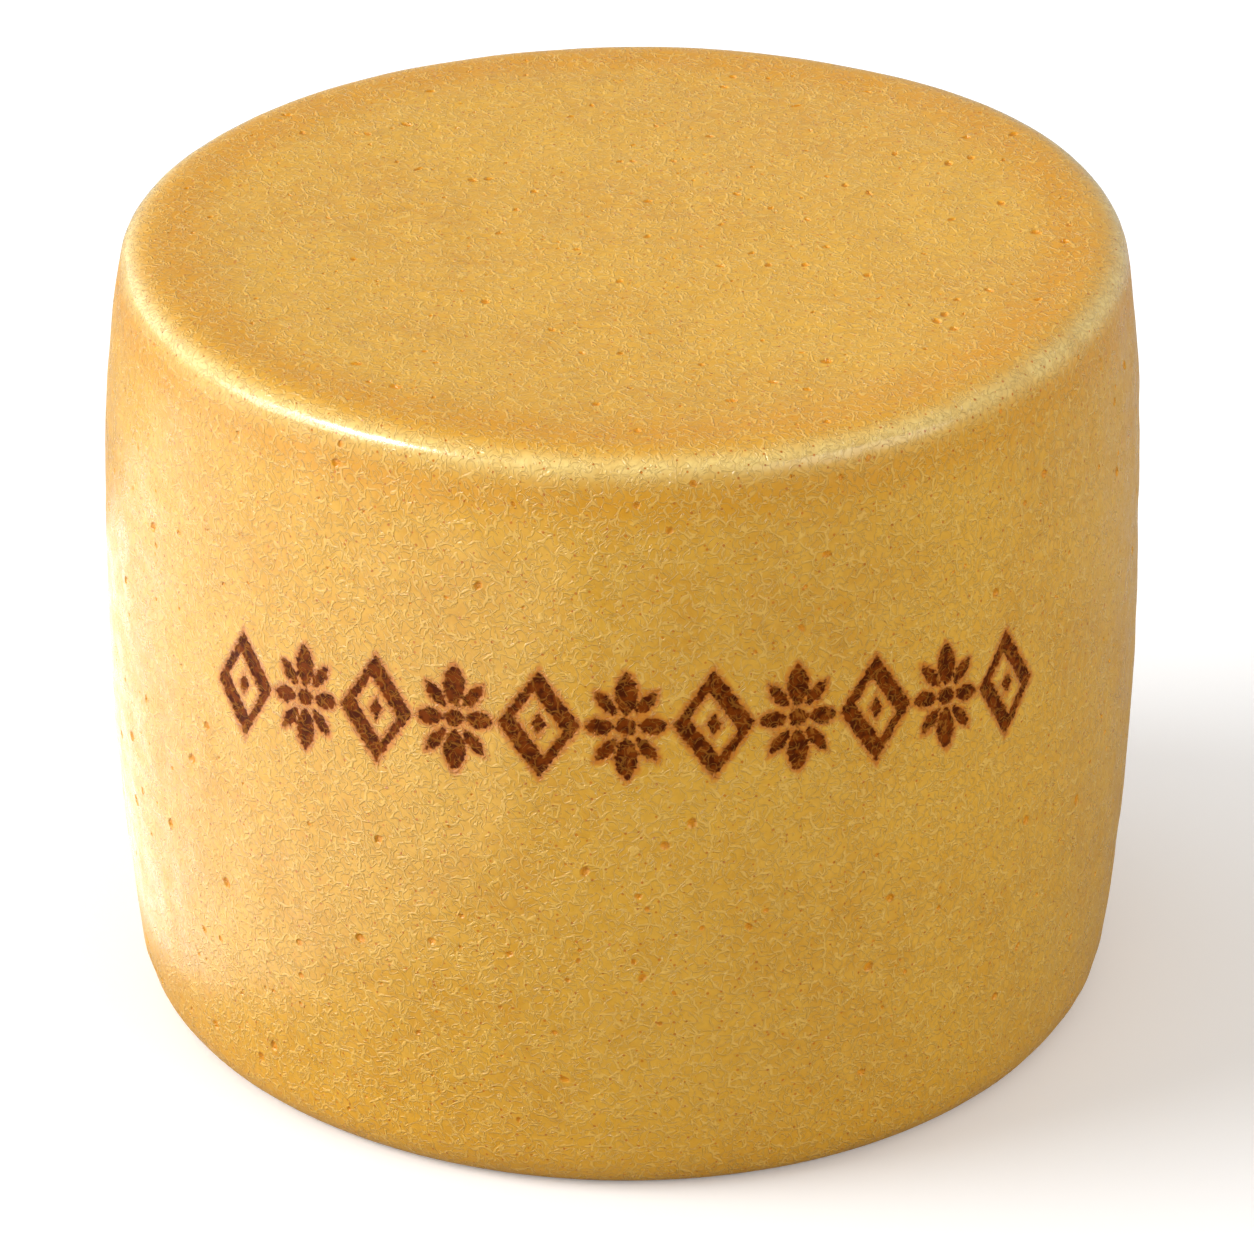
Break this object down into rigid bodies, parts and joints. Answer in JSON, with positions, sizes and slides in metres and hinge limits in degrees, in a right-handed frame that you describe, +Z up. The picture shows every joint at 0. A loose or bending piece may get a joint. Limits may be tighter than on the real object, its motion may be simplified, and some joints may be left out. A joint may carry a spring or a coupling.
{
  "type": "cheese wheel",
  "caption": "Tall drum-shaped wheel of hard golden cheese with a softly swelling side, rolled rims and a band of burnt ornament round its front.",
  "frame": {"origin": "middle of the flat underside", "axes": "+Z up along the wheel's axis; -Y towards the front with the burnt ornament"},
  "size_m": [0.3176, 0.323, 0.2454],
  "materials": {
    "cheese_rind": "waxy golden rind, softly glossy, with small pits and a dark brown burnt ornament"
  },
  "bodies": {
    "root": {"cheese_wheel": "cheese_rind"}
  },
  "joints": []
}
